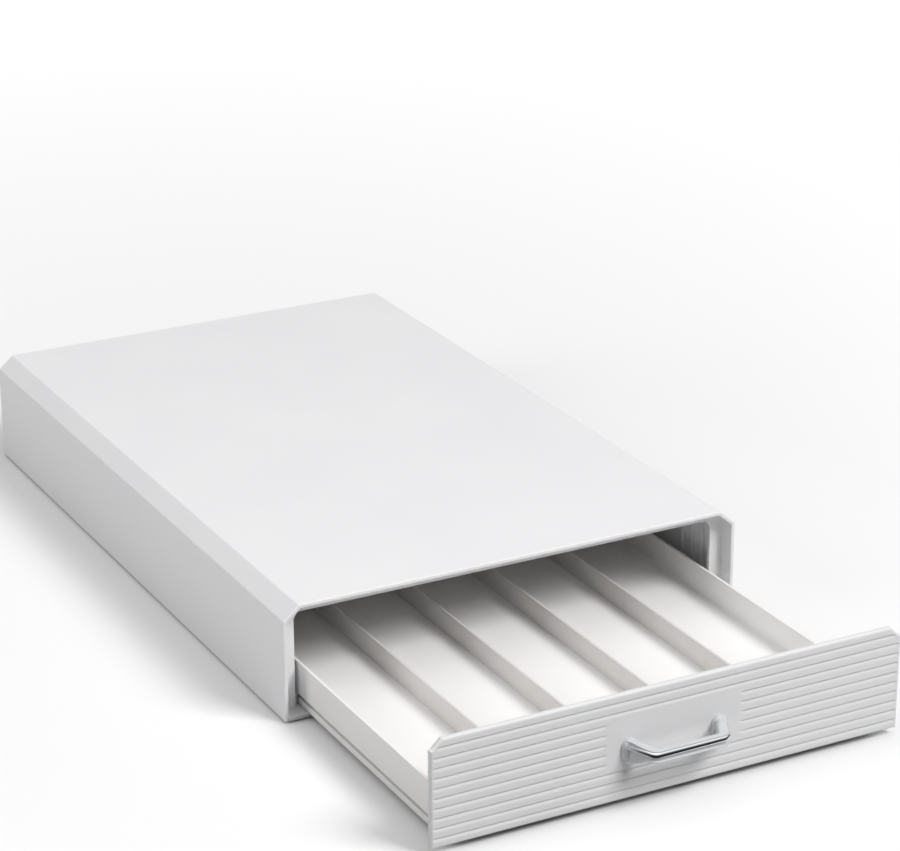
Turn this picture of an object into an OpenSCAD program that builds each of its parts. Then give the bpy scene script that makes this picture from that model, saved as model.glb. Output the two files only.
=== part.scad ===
// Coffee pod drawer: a low plastic case that a coffee machine stands on, with a
// sliding tray of five lanes for pods. Millimetres, +Z up, the tray opens towards -Y.
// The origin lies on the table, in the middle of the footprint with the tray part open.

/* [Case] */
// Width of the case over its side walls
case_w = 246; // [220:1:300]
// Depth of the case from its front rim to its back
case_d = 380; // [350:1:440]
// Height of the case above its bottom edge
case_h = 58.2; // [56:0.1:76]
// Width that the slanted upper edge takes off the top
chamfer_w = 8.5; // [6:0.1:11]
// Height that the slanted upper edge takes off the side
chamfer_h = 7.3; // [5:0.1:10]
// Thickness of the moulded shell
shell_t = 2; // [1.6:0.1:2.4]
// Depth of the front recess that takes the closed front panel
recess_d = 8; // [7:0.1:12]
// Thickness of the upright frame at the back of the recess
frame_t = 2; // [1.6:0.1:3]
// How far the frame hangs below the roof
frame_drop = 5.3; // [4:0.1:6]
// Thickness of the back panel
back_t = 2.4; // [2:0.1:3]

/* [Feet] */
// Height of the rubber feet below the case
foot_stand = 1; // [0.8:0.1:3]
// Depth of a foot's seat in the rail
foot_seat = 0.8; // [0.5:0.1:1.2]
// Diameter of a rubber foot
foot_d = 9; // [7:0.1:10]
// Width of the slanted edge round a foot
foot_edge = 0.4; // [0.2:0.1:0.6]
// Distance from a foot's centre to the front rim or the back
foot_inset = 15; // [12:0.5:26]

/* [Inner ribs] */
// Thickness of the ribs
rib_t = 1.5; // [1.2:0.1:2]
// Height of the guide ribs on the side walls
guide_rib_h = 2; // [1.2:0.1:2.4]
// Guide ribs in each group
guide_rib_count = 3; // [2:1:4]
// Spacing of the guide ribs
guide_rib_pitch = 8.7; // [6:0.1:10]
// Distance from the frame or the back panel to the first guide rib
guide_rib_start = 14.6; // [10:0.1:20]
// Depth of the ribs under the roof
roof_rib_h = 3.4; // [2:0.1:4]
// Ribs under the roof that run from front to back
roof_rib_long = 3; // [1:1:5]
// Ribs under the roof that run across
roof_rib_cross = 3; // [1:1:5]
// Distance from the case's sides, frame or back to the outermost roof ribs
roof_rib_inset = 38; // [20:1:60]

/* [Base rails] */
// Thickness of the rail's foot flange
flange_t = 2.1; // [1.8:0.1:3]
// How far the flange reaches under the runner
flange_reach = 1.9; // [1.5:0.1:3]
// Thickness of the upright rib that guides the runner
rail_rib_t = 1.2; // [1:0.1:1.8]
// Thickness of the hook that holds the runner down
hook_t = 1.4; // [1:0.1:1.6]
// How far the hook reaches over the runner
hook_reach = 2.3; // [1.5:0.1:3]
// Distance from the frame or the back panel to the ends of the upright rib
rail_rib_inset = 1; // [0.5:0.1:4]

/* [Tray] */
// Room for rail and rib between the shell and the tray wall
side_room = 9; // [8.6:0.1:12]
// Thickness of the tray walls
tray_t = 1.6; // [1.4:0.1:2]
// Thickness of the tray floor
floor_t = 1.8; // [1.4:0.1:2.4]
// Height of the tray's side walls
tray_side_h = 16.9; // [14:0.1:20]
// How far the tray's front wall ends below the panel's upper edge
tray_front_drop = 8; // [6:0.1:14]
// Height of the floor's underside above the lower edge of the side walls
floor_lift = 0.7; // [0.4:0.1:1.2]
// Height of the runner lip
runner_h = 3.1; // [2:0.1:4]
// Width of the runner lip
runner_w = 5.7; // [5:0.1:7]
// Open height of the groove above the runner lip
groove_h = 2.8; // [2.6:0.1:4]
// Thickness of a lane divider
divider_t = 1.6; // [1.2:0.1:2]
// Length of the guides that hold a divider's ends
divider_guide = 3; // [2:0.1:5]

/* [Travel] */
// How far the tray stands open at rest
rest_open = 141; // [0:1:200]
// How far the tray opens before its stops touch the frame
full_open = 300; // [220:1:310]

/* [Stops] */
// Thickness of a stop's plate
stop_plate_t = 1.4; // [1:0.1:1.6]
// Length of a stop
stop_len = 14; // [12:0.1:20]
// Height of a stop
stop_h = 9; // [7:0.1:12]
// Height of a stop above the lower edge of the tray wall
stop_lift = 4; // [2:0.1:5]
// Length of the nose that catches the frame
stop_nose_len = 4; // [3:0.1:6]
// How far the nose reaches behind the frame
stop_catch = 3.2; // [2:0.1:3.4]
// Diameter of a stop's pegs
stop_peg_d = 3; // [2.4:0.1:4]

/* [Front panel] */
// Thickness of the front panel
panel_t = 3; // [2.6:0.1:3.6]
// Height of the panel's lower edge above the case's bottom edge
panel_lift = 2.6; // [2.4:0.1:3.2]
// Gap between the panel's upper edge and the roof
panel_over_gap = 2; // [1:0.1:3]
// Size of the panel's slanted top corners
panel_chamfer = 5.6; // [4.6:0.1:7]
// Number of slats across the panel's face
slat_count = 11; // [7:1:15]
// Height of the lowest slat
slat_foot = 4.9; // [4.4:0.1:6]
// Height of the highest slat
slat_head = 3.6; // [3:0.1:6]
// Depth of the grooves between the slats
slat_groove = 0.8; // [0.3:0.05:0.9]
// Height of the mouth of a groove
slat_mouth = 1.8; // [0.8:0.1:2]
// Height of the short lower edge of a slat, above the deepest line of its groove
slat_lip = 0.2; // [0.1:0.05:0.4]
// Plain margin at each end of the grooves
slat_margin = 1.2; // [0.8:0.1:3]
// Half width of the plain field behind the handle
field_half = 34; // [30:0.5:60]
// Grooves above the plain field
field_above = 2; // [1:1:3]
// Grooves below the plain field
field_below = 3; // [1:1:3]

/* [Handle] */
// Length of the handle over its two pads
handle_span = 54; // [50:0.5:60]
// How far the bar stands out from the panel
handle_reach = 15.2; // [14:0.1:22]
// How far the handle sits below the panel's middle
handle_drop = 1.4; // [0:0.1:4]
// Width of a pad
pad_w = 8; // [7.6:0.1:10]
// Height of a pad
pad_h = 11.3; // [10.6:0.1:14]
// Thickness of a pad
pad_t = 3; // [2.4:0.1:4]
// Height of the bar
bar_h = 5.4; // [4.6:0.1:6.4]
// Height of the bar's top above the handle's middle
bar_rise = 4; // [3:0.1:4.6]
// Thickness of the bar
bar_t = 3.4; // [3:0.1:5]
// Angle by which each leg leans in towards the middle
leg_angle = 25; // [18:1:30]
// Step from a pad's outer end to the leg
leg_step_out = 2.4; // [2:0.1:2.8]
// Step from a pad's inner end to the leg
leg_step_in = 0.4; // [0.2:0.1:0.6]
// Step from a pad's upper end down to the leg
leg_step_top = 0.6; // [0.4:0.1:1]
// Diameter of the bright rod let into the bar
rod_d = 3; // [2:0.1:3]
// Depth of the rod's middle behind the bar's outer face
rod_sink = 0.6; // [0.1:0.1:0.8]
// Depth of the rod's middle below the bar's top
rod_drop = 1.9; // [1.8:0.1:2.2]
// Radius of the rod's bends along its middle
rod_bend_r = 3.4; // [2.4:0.1:5]

/* [Fasteners] */
// Diameter of the screw threads
screw_d = 2.8; // [2.5:0.1:3]
// Diameter of the screw heads
head_d = 5.4; // [5:0.1:5.6]
// Height of the screw heads
head_h = 1.4; // [1.2:0.1:1.6]
// Wall of plastic round a screw
boss_wall = 1.7; // [1.4:0.1:1.9]
// Gap between a screw boss and the wall beside it
boss_stand = 0.4; // [0.2:0.1:0.6]
// Screws in each base rail
rail_screw_count = 3; // [2:1:5]
// Distance from the front rim or the back panel to the outermost rail screws
rail_screw_inset = 32; // [28:0.5:60]
// Height of the rail's screw bosses
rail_boss_h = 6.4; // [5:0.1:7]
// Depth of the rail screws in their bosses
rail_screw_bite = 5.6; // [4:0.1:6]
// Length of the back panel's screw bosses
back_boss_len = 7; // [5:0.1:10]
// Depth of the back screws in their bosses
back_screw_bite = 6; // [4:0.1:6.4]
// Height of the side pair of back screws above the case's bottom edge
back_screw_lift = 29; // [20:0.5:36]
// Distance of the upper pair of back screws from the middle
back_screw_x = 54; // [30:1:80]
// Wall of plastic round a panel screw
panel_boss_wall = 2.1; // [1.6:0.1:2.4]
// Depth of the panel screws in the panel's plate
panel_screw_bite = 1.6; // [1.2:0.1:1.7]
// Distance from the tray wall's outer face to the panel screws
panel_screw_in = 14; // [10:0.5:20]
// Distance of the panel screws from the tray's floor and the front wall's top
panel_screw_edge = 6; // [5.6:0.1:9]
// Reach of a panel screw's washer round the boss
washer_rim = 1.2; // [0.8:0.1:1.6]
// Thickness of a panel screw's washer
washer_t = 1; // [0.8:0.1:1.4]
// Distance of the handle screws from the middle of a pad, towards the centre
handle_screw_in = 2.2; // [2:0.1:2.3]
// Distance of the handle screws below the handle's middle
handle_screw_drop = 1.2; // [0.8:0.1:1.2]
// Depth of the handle screws beyond a pad's face
handle_screw_bite = 3.4; // [2.4:0.1:3.6]

/* [Clearances] */
// Gap between the runner and the rail's upright rib
runner_side_gap = 0.4; // [0.3:0.05:0.6]
// Gap under the runner
runner_under_gap = 0.3; // [0.3:0.05:0.5]
// Gap between the hook and the tray wall above it
hook_gap = 0.4; // [0.3:0.05:0.6]
// Gap beside the tray wall in the frame's opening
frame_gap = 1.8; // [1.6:0.1:2.2]
// Gap between the front panel and the shell beside it
panel_gap = 0.5; // [0.4:0.05:1]
// Gap between the tray's rear wall and the back panel when shut
rear_gap = 0.8; // [0.6:0.1:2]
// Gap between a stop and the frame when fully open
stop_gap = 0.3; // [0.2:0.05:0.5]
// Gap round a thread or a peg in its hole
screw_gap = 0.05; // [0.03:0.01:0.1]
// Gap round a screw in a plate that it passes through
pass_gap = 0.3; // [0.2:0.05:0.4]
// Gap between a divider and the guides on each side of it
divider_gap = 0.1; // [0.05:0.05:0.2]
// Gap between the top of the dividers and the handle screws' heads above them
divider_top_gap = 0.8; // [0.4:0.1:4]
// Gap round the bright rod in its groove
rod_gap = 0.05; // [0.03:0.01:0.1]
// Space left at a screw's tip, and at the end of a panel boss
tip_gap = 0.2; // [0.1:0.05:0.4]

/* [Hidden] */
$fn = 48;
// How deep one solid is sunk into another that it is joined to, or a cut runs past a face
overlap = 0.5;
// Angle by which a bend of the rod runs on inside a straight length, and how much thinner it is
bend_tuck = 4;
bend_step = 0.02;
// There is one node for each divider
divider_count = 4;

// Case: heights are counted from the table, lengths from the front rim
base_z = foot_stand;
case_half = case_w / 2;
inner_half = case_half - shell_t;
case_top = base_z + case_h;
roof_z = case_top - shell_t;
flange_top = base_z + flange_t;
frame_back = recess_d + frame_t;
frame_low = roof_z - frame_drop;
back_y = case_d - back_t;
// Turning angles at the two ends of the slanted edge
side_turn = atan(chamfer_w / chamfer_h);
top_turn = 90 - side_turn;

// Tray: lengths are counted from the front rim with the tray shut
tray_half = inner_half - side_room;
tray_in_half = tray_half - tray_t;
frame_half = tray_half + frame_gap;
runner_z = flange_top + runner_under_gap;
runner_top = runner_z + runner_h;
tray_z = runner_top + groove_h;
floor_z = tray_z + floor_lift;
floor_top = floor_z + floor_t;
rail_rib_top = tray_z - hook_gap;
rail_rib_x = tray_half - runner_side_gap;
runner_out = rail_rib_x - runner_side_gap;
runner_in = runner_out - runner_w;
flange_in = runner_out - flange_reach;
tray_rear = back_y - rear_gap;
lane_front = panel_t + tray_t;
lane_rear = tray_rear - tray_t;
lane_w = (2 * tray_in_half - divider_count * divider_t) / (divider_count + 1);

// Front panel and its grooves
panel_half = inner_half - panel_gap;
panel_z = base_z + panel_lift;
panel_top = roof_z - panel_over_gap;
panel_h = panel_top - panel_z;
slat_pitch = (panel_h - slat_foot - slat_head) / (slat_count - 2);
tray_front_h = panel_top - tray_front_drop - tray_z;

// Handle: lengths along -Y are counted from the panel's face
handle_mid_z = panel_z + panel_h / 2 - handle_drop;
pad_x = (handle_span - pad_w) / 2;
pad_low_z = handle_mid_z - pad_h / 2;
leg_top_z = handle_mid_z + pad_h / 2 - leg_step_top;
leg_out = handle_span / 2 - leg_step_out;
leg_in = handle_span / 2 - pad_w + leg_step_in;
leg_lean = (handle_reach - pad_t) * tan(leg_angle);
bar_top_z = handle_mid_z + bar_rise;
bar_low_z = bar_top_z - bar_h;
bar_back = handle_reach - bar_t;
rod_z = bar_top_z - rod_drop;
rod_y = handle_reach - rod_sink;
rod_foot_x = leg_out - rod_sink;
rod_bend_x = rod_foot_x - (rod_y - pad_t) * tan(leg_angle);

// Screws and their bosses
pilot_r = screw_d / 2 + screw_gap;
pass_r = screw_d / 2 + pass_gap;
boss_d = screw_d + 2 * boss_wall;
boss_x = inner_half - boss_stand - boss_d / 2;
boss_roof_z = roof_z - boss_stand - boss_d / 2;
back_screw_z = base_z + back_screw_lift;
rail_screw_ys = spread(rail_screw_count, rail_screw_inset, back_y - rail_screw_inset);
panel_boss_d = screw_d + 2 * panel_boss_wall;
panel_screw_x = tray_half - panel_screw_in;
panel_screw_zs = [floor_top + panel_screw_edge, tray_z + tray_front_h - panel_screw_edge];
handle_screw_x = pad_x - handle_screw_in;
handle_screw_z = handle_mid_z - handle_screw_drop;
handle_screw_depth = pad_t + handle_screw_bite;

// Dividers: they end just below the heads of the handle screws
divider_h = handle_screw_z - head_d / 2 - divider_top_gap - floor_top;

// Stops: the noses meet the frame when the tray is fully open
stop_front = frame_back + stop_gap + full_open;
stop_nose_x = frame_half + stop_catch;
stop_z = tray_z + stop_lift;

// Middle of the footprint, which is the origin
front_reach = rest_open + rod_y + rod_d / 2;
mid_y = (case_d - front_reach) / 2;

// What is left of the slanted edge when the outline moves inwards by an inset
function inset_chamfer_w(inset) = max(chamfer_w - inset * (1 - tan(top_turn / 2)), overlap);
function inset_chamfer_h(inset) = max(chamfer_h - inset * (1 - tan(side_turn / 2)), overlap);
// Evenly spaced places from one end to the other
function spread(count, low, high) =
    [for (i = [0:count - 1]) low + (high - low) * (count > 1 ? i / (count - 1) : 1 / 2)];
// Middle of the divider with this number
function divider_x(number) = (number - (divider_count + 1) / 2) * (lane_w + divider_t);

// What belongs to the case, from the front rim backwards
module in_case() {
    translate([0, -mid_y, 0]) children();
}

// What slides with the tray, drawn as if it were shut
module in_tray() {
    translate([0, -mid_y - rest_open, 0]) children();
}

module both_sides() {
    children();
    mirror([1, 0, 0]) children();
}

// An outline in X and Z, drawn out along Y from one place to another
module along_y(from, to) {
    translate([0, to, 0]) rotate([90, 0, 0]) linear_extrude(height = to - from) children();
}

// A round bar along +Y
module bar_y(radius, length) {
    rotate([-90, 0, 0]) cylinder(r = radius, h = length);
}

// A round bar along +X
module bar_x(radius, length) {
    rotate([0, 90, 0]) cylinder(r = radius, h = length);
}

// The case's outline: upright sides, slanted upper edges and a flat top
module outline(half, low, high, cut_w, cut_h) {
    polygon([[-half, low], [half, low], [half, high - cut_h], [half - cut_w, high],
        [cut_w - half, high], [-half, high - cut_h]]);
}

// The hollow between the side walls and under the roof
module hollow_outline(low) {
    outline(inner_half, low, roof_z, inset_chamfer_w(shell_t), inset_chamfer_h(shell_t));
}

// Upright frame at the back of the front recess
module shell_frame() {
    wall_middle = shell_t / 2;
    opening_inset = shell_t + frame_drop;
    along_y(recess_d, frame_back) difference() {
        outline(inner_half + wall_middle, flange_top, roof_z + wall_middle,
            inset_chamfer_w(wall_middle), inset_chamfer_h(wall_middle));
        outline(frame_half, flange_top - overlap, frame_low,
            inset_chamfer_w(opening_inset), inset_chamfer_h(opening_inset));
    }
}

// Upright ribs on the right-hand side wall, a group at each end
module guide_ribs() {
    rib_low = flange_top + overlap;
    rib_high = case_top - chamfer_h - shell_t;
    for (i = [0:guide_rib_count - 1]) {
        inset = guide_rib_start + i * guide_rib_pitch;
        for (y = [frame_back + inset, back_y - inset])
            translate([inner_half - guide_rib_h, y - rib_t / 2, rib_low])
                cube([guide_rib_h + overlap, rib_t, rib_high - rib_low]);
    }
}

// A grid of ribs that stiffens the roof
module roof_ribs() {
    roof_half = case_half - chamfer_w - shell_t;
    long_half = case_half - roof_rib_inset;
    for (x = spread(roof_rib_long, -long_half, long_half))
        translate([x - rib_t / 2, frame_back - overlap, roof_z - roof_rib_h])
            cube([rib_t, back_y - frame_back + overlap, roof_rib_h + overlap]);
    for (y = spread(roof_rib_cross, frame_back + roof_rib_inset, back_y - roof_rib_inset))
        translate([-roof_half, y - rib_t / 2, roof_z - roof_rib_h])
            cube([2 * roof_half, rib_t, roof_rib_h + overlap]);
}

// A screw boss that stands on the rail, with a web to the side wall
module rail_boss(y) {
    translate([boss_x, y, flange_top]) cylinder(d = boss_d, h = rail_boss_h);
    translate([boss_x, y - rib_t / 2, flange_top])
        cube([inner_half - boss_x + overlap, rib_t, rail_boss_h]);
}

// The back panel's screw bosses, with webs to the side wall and the roof
module back_bosses() {
    for (place = [[boss_x, back_screw_z], [back_screw_x, boss_roof_z]])
        translate([place[0], back_y - back_boss_len, place[1]])
            bar_y(boss_d / 2, back_boss_len);
    translate([boss_x, back_y - back_boss_len, back_screw_z - rib_t / 2])
        cube([inner_half - boss_x + overlap, back_boss_len, rib_t]);
    translate([back_screw_x - rib_t / 2, back_y - back_boss_len, boss_roof_z])
        cube([rib_t, back_boss_len, roof_z - boss_roof_z + overlap]);
}

module at_back_screws() {
    both_sides() for (place = [[boss_x, back_screw_z], [back_screw_x, boss_roof_z]])
        translate([place[0], back_y, place[1]]) children();
}

module at_rail_screws() {
    both_sides() for (y = rail_screw_ys) translate([boss_x, y, base_z]) children();
}

module at_panel_screws() {
    both_sides() for (z = panel_screw_zs) translate([panel_screw_x, panel_t, z]) children();
}

module at_handle_screws() {
    both_sides() translate([handle_screw_x, 0, handle_screw_z]) children();
}

// Shell: roof, slanted edges and side walls in one moulding, open in front, behind and below
module case_shell() {
    color([0.93, 0.93, 0.94]) in_case() difference() {
        union() {
            difference() {
                along_y(0, case_d) outline(case_half, base_z, case_top, chamfer_w, chamfer_h);
                along_y(-overlap, case_d + overlap) hollow_outline(base_z - overlap);
            }
            shell_frame();
            roof_ribs();
            both_sides() {
                guide_ribs();
                back_bosses();
                for (y = rail_screw_ys) rail_boss(y);
            }
        }
        at_back_screws() translate([0, -back_screw_bite - tip_gap, 0])
            bar_y(pilot_r, back_screw_bite + tip_gap + overlap);
        at_rail_screws() cylinder(r = pilot_r, h = flange_t + rail_screw_bite + tip_gap);
    }
}

// Back panel: a flat plate let in flush between the side walls
module back_panel() {
    color([0.9, 0.9, 0.91]) in_case() difference() {
        along_y(back_y, case_d) hollow_outline(base_z);
        at_back_screws() {
            translate([0, -overlap, 0]) bar_y(pass_r, back_t);
            translate([0, back_t - head_h, 0]) bar_y(head_d / 2 + pass_gap, head_h + overlap);
        }
    }
}

// A screw along Y: its head starts here, and its thread runs this far towards -Y
module pan_screw(reach) {
    translate([0, -reach, 0]) bar_y(screw_d / 2, reach + head_h / 2);
    bar_y(head_d / 2, head_h);
}

module back_screws() {
    color([0.55, 0.56, 0.58]) in_case() at_back_screws() translate([0, back_t - head_h, 0])
        pan_screw(back_screw_bite + back_t - head_h);
}

// Rail: the flange under the shell's wall, with the hooked rib that holds the runner down
module rail() {
    rib_front = frame_back + rail_rib_inset;
    rib_len = back_y - rail_rib_inset - rib_front;
    difference() {
        union() {
            translate([flange_in, 0, base_z]) cube([inner_half - flange_in, back_y, flange_t]);
            translate([rail_rib_x, rib_front, flange_top - overlap])
                cube([rail_rib_t, rib_len, rail_rib_top - flange_top + overlap]);
            translate([rail_rib_x - hook_reach, rib_front, rail_rib_top - hook_t])
                cube([hook_reach + overlap, rib_len, hook_t]);
        }
        for (y = rail_screw_ys) translate([boss_x, y, base_z]) {
            translate([0, 0, -overlap]) cylinder(r = pass_r, h = flange_t + 2 * overlap);
            cylinder(r1 = head_d / 2 + pass_gap, r2 = pass_r, h = head_h);
        }
        for (y = [foot_inset, case_d - foot_inset])
            translate([(flange_in + inner_half) / 2, y, base_z - overlap])
                cylinder(d = foot_d, h = overlap + foot_seat);
    }
}

module rail_left() {
    color([0.9, 0.9, 0.91]) in_case() mirror([1, 0, 0]) rail();
}

module rail_right() {
    color([0.9, 0.9, 0.91]) in_case() rail();
}

// Countersunk screws, driven up from below
module rail_screws() {
    color([0.55, 0.56, 0.58]) in_case() at_rail_screws() {
        cylinder(d = screw_d, h = flange_t + rail_screw_bite);
        cylinder(r1 = head_d / 2, r2 = screw_d / 2, h = head_h);
    }
}

// A soft round foot, stuck into a shallow seat in the rail
module foot(side, y) {
    color([0.25, 0.25, 0.26]) in_case() translate([side * (flange_in + inner_half) / 2, y, 0]) {
        cylinder(d1 = foot_d - 2 * foot_edge, d2 = foot_d, h = foot_edge);
        translate([0, 0, foot_edge])
            cylinder(d = foot_d, h = foot_stand + foot_seat - foot_edge);
    }
}

// Half of the tray's section: floor, side wall and the runner under it
module tray_section() {
    side_top = tray_z + tray_side_h;
    polygon([[0, floor_z], [runner_in, floor_z], [runner_in, runner_z], [runner_out, runner_z],
        [runner_out, runner_top], [runner_in + tray_t, runner_top], [runner_in + tray_t, floor_z],
        [tray_in_half, floor_z], [tray_in_half, tray_z], [tray_half, tray_z],
        [tray_half, side_top], [tray_in_half, side_top], [tray_in_half, floor_top],
        [0, floor_top]]);
}

// A pair of upright guides that the end of a divider slides into
module divider_guides(x, y) {
    for (side = [-1, 1])
        translate([x + side * (divider_t / 2 + divider_gap + rib_t / 2) - rib_t / 2, y,
            floor_top - overlap])
            cube([rib_t, divider_guide + overlap, divider_h + overlap]);
}

// Places of the right-hand stop's pegs, on the inside of the tray wall
module at_stop_pegs() {
    for (y = [stop_front + stop_nose_len, stop_front + stop_len - stop_peg_d])
        translate([tray_in_half, y, stop_z + stop_h / 2]) children();
}

// Tray: floor, low side walls, front and rear walls and both runners in one moulding
module tray() {
    color([0.9, 0.89, 0.88]) in_tray() difference() {
        union() {
            both_sides() along_y(panel_t, tray_rear) tray_section();
            translate([-tray_half, panel_t, tray_z]) cube([2 * tray_half, tray_t, tray_front_h]);
            translate([-tray_half, lane_rear, tray_z])
                cube([2 * tray_half, tray_t, tray_side_h]);
            for (i = [1:divider_count]) {
                divider_guides(divider_x(i), lane_front - overlap);
                divider_guides(divider_x(i), lane_rear - divider_guide);
            }
        }
        at_panel_screws() translate([0, -overlap, 0])
            bar_y(panel_boss_d / 2 + pass_gap, tray_t + 2 * overlap);
        at_handle_screws() translate([0, panel_t - overlap, 0])
            bar_y(pass_r, tray_t + 2 * overlap);
        both_sides() at_stop_pegs() translate([-overlap, 0, 0])
            bar_x(stop_peg_d / 2 + screw_gap, tray_t + 2 * overlap);
    }
}

// Divider: a thin upright plate that slides down between its guides
module divider(number) {
    color([0.88, 0.86, 0.85]) in_tray()
        translate([divider_x(number) - divider_t / 2, lane_front, floor_top])
            cube([divider_t, lane_rear - lane_front, divider_h]);
}

// A groove across the panel's face between two places along X: it cuts in sharply under the
// slat above it, and runs out over the sloping shoulder of the slat below it
module face_groove(from, to, z) {
    mouth_low = slat_lip - slat_mouth;
    translate([from, 0, z]) rotate([90, 0, 90]) linear_extrude(height = to - from)
        polygon([[-overlap, mouth_low], [0, mouth_low], [slat_groove, 0], [0, slat_lip],
            [-overlap, slat_lip]]);
}

// The grooves between the slats, with a plain field behind the handle
module slat_grooves() {
    for (i = [1:slat_count - 1]) {
        z = panel_z + slat_foot + (i - 1) * slat_pitch;
        corner = max(z - (panel_top - panel_chamfer), 0);
        end = panel_half - slat_margin - corner;
        if (i > field_below && i < slat_count - field_above) {
            face_groove(-end, -field_half, z);
            face_groove(field_half, end, z);
        } else {
            face_groove(-end, end, z);
        }
    }
}

// Front panel: a slatted face, with four short screw bosses behind that enter the tray
module front_panel() {
    boss_len = tray_t - tip_gap;
    color([0.92, 0.92, 0.93]) in_tray() difference() {
        union() {
            along_y(0, panel_t)
                outline(panel_half, panel_z, panel_top, panel_chamfer, panel_chamfer);
            at_panel_screws() translate([0, -overlap, 0])
                bar_y(panel_boss_d / 2, boss_len + overlap);
        }
        slat_grooves();
        at_panel_screws() translate([0, -panel_screw_bite, 0])
            bar_y(pilot_r, panel_screw_bite + boss_len + overlap);
        at_handle_screws() translate([0, -overlap, 0]) bar_y(pass_r, panel_t + 2 * overlap);
    }
}

// Washer-head screws, driven forwards from inside the tray
module panel_screws() {
    color([0.55, 0.56, 0.58]) in_tray() at_panel_screws() translate([0, tray_t, 0]) {
        bar_y(panel_boss_d / 2 + washer_rim, washer_t);
        translate([0, washer_t / 2, 0]) bar_y(head_d / 2, head_h);
        translate([0, tip_gap - tray_t - panel_screw_bite, 0])
            bar_y(screw_d / 2, tray_t + panel_screw_bite);
    }
}

// A flat pad with round ends, on the panel's face
module handle_pad() {
    half_flat = (pad_h - pad_w) / 2;
    translate([pad_x, -pad_t, handle_mid_z]) {
        for (z = [-half_flat, half_flat]) translate([0, 0, z]) bar_y(pad_w / 2, pad_t);
        translate([-pad_w / 2, 0, -half_flat]) cube([pad_w, pad_t, 2 * half_flat]);
    }
}

// The bow seen from above: two legs that lean in, joined by a straight bar
module bow_plan() {
    inner_lean = (bar_back - pad_t) * tan(leg_angle);
    polygon([[leg_out, 0], [leg_out, -pad_t], [leg_out - leg_lean, -handle_reach],
        [leg_lean - leg_out, -handle_reach], [-leg_out, -pad_t], [-leg_out, 0], [-leg_in, 0],
        [-leg_in, -pad_t], [inner_lean - leg_in, -bar_back], [leg_in - inner_lean, -bar_back],
        [leg_in, -pad_t], [leg_in, 0]]);
}

// The bow seen from the side: deep at the pads and slim at the bar
module bow_side() {
    polygon([[0, pad_low_z], [-pad_t, pad_low_z], [-bar_back, bar_low_z],
        [-handle_reach, bar_low_z], [-handle_reach, bar_top_z], [-bar_back, bar_top_z],
        [-pad_t, leg_top_z], [0, leg_top_z]]);
}

// The bright rod's line round the outside of the bow: a bar, two round bends and two legs.
// The bends are a hair thinner than the straight lengths and start a little way inside them.
module rod_line(radius) {
    turn = 90 - leg_angle;
    tangent = rod_bend_r * tan(turn / 2);
    bar_half = rod_bend_x - tangent;
    leg_len = (rod_y - pad_t) / cos(leg_angle) - tangent + radius;
    difference() {
        both_sides() translate([bar_half, rod_bend_r - rod_y, rod_z]) rotate([0, 0, -90]) {
            rotate([0, 0, -bend_tuck]) rotate_extrude(angle = turn + 2 * bend_tuck)
                translate([rod_bend_r, 0]) circle(r = radius - bend_step);
            translate([rod_bend_r, -bar_half - overlap, 0]) bar_y(radius, bar_half + overlap);
            rotate([0, 0, turn]) translate([rod_bend_r, 0, 0]) bar_y(radius, leg_len);
        }
        translate([-handle_span, -pad_t, 0]) cube([2 * handle_span, 2 * pad_t, case_top]);
    }
}

// Bow: the moulded handle, with a groove for the bright rod
module handle_bow() {
    color([0.78, 0.79, 0.8]) in_tray() difference() {
        union() {
            intersection() {
                linear_extrude(height = case_top) bow_plan();
                translate([-handle_span, 0, 0]) rotate([90, 0, 90])
                    linear_extrude(height = 2 * handle_span) bow_side();
            }
            both_sides() handle_pad();
        }
        rod_line(rod_d / 2 + rod_gap);
        at_handle_screws() translate([0, -handle_screw_depth - tip_gap, 0])
            bar_y(pilot_r, handle_screw_depth + tip_gap + overlap);
    }
}

// Rod: a bright round bar bent to the bow's line
module handle_rod() {
    color([0.75, 0.76, 0.78]) in_tray() rod_line(rod_d / 2);
}

// Screws through the tray's front wall and the panel into the bow's legs
module handle_screws() {
    color([0.55, 0.56, 0.58]) in_tray() at_handle_screws() translate([0, lane_front, 0])
        pan_screw(lane_front + handle_screw_depth);
}

// Stop: a plate pegged to the tray wall, with a nose that catches behind the frame
module stop() {
    translate([tray_half, stop_front, stop_z]) {
        cube([stop_plate_t, stop_len, stop_h]);
        cube([stop_nose_x - tray_half, stop_nose_len, stop_h]);
    }
    at_stop_pegs() bar_x(stop_peg_d / 2, tray_t + overlap);
}

module stop_left() {
    color([0.8, 0.8, 0.8]) in_tray() mirror([1, 0, 0]) stop();
}

module stop_right() {
    color([0.8, 0.8, 0.8]) in_tray() stop();
}

case_shell();
back_panel();
back_screws();
rail_left();
rail_right();
rail_screws();
foot(-1, foot_inset);  // foot_front_left
foot(1, foot_inset);  // foot_front_right
foot(-1, case_d - foot_inset);  // foot_rear_left
foot(1, case_d - foot_inset);  // foot_rear_right
tray();
divider(1);  // divider_1
divider(2);  // divider_2
divider(3);  // divider_3
divider(4);  // divider_4
front_panel();
panel_screws();
handle_bow();
handle_rod();
handle_screws();
stop_left();
stop_right();
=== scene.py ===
# Looks of a coffee pod drawer: a low moulded case with a tray that slides out on two runners.
# Metres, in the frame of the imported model: +Z up, and the tray opens towards -Y.
from math import cos, pi, radians, sin, tan

import bmesh
import bpy
from mathutils import Matrix, Vector


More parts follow.
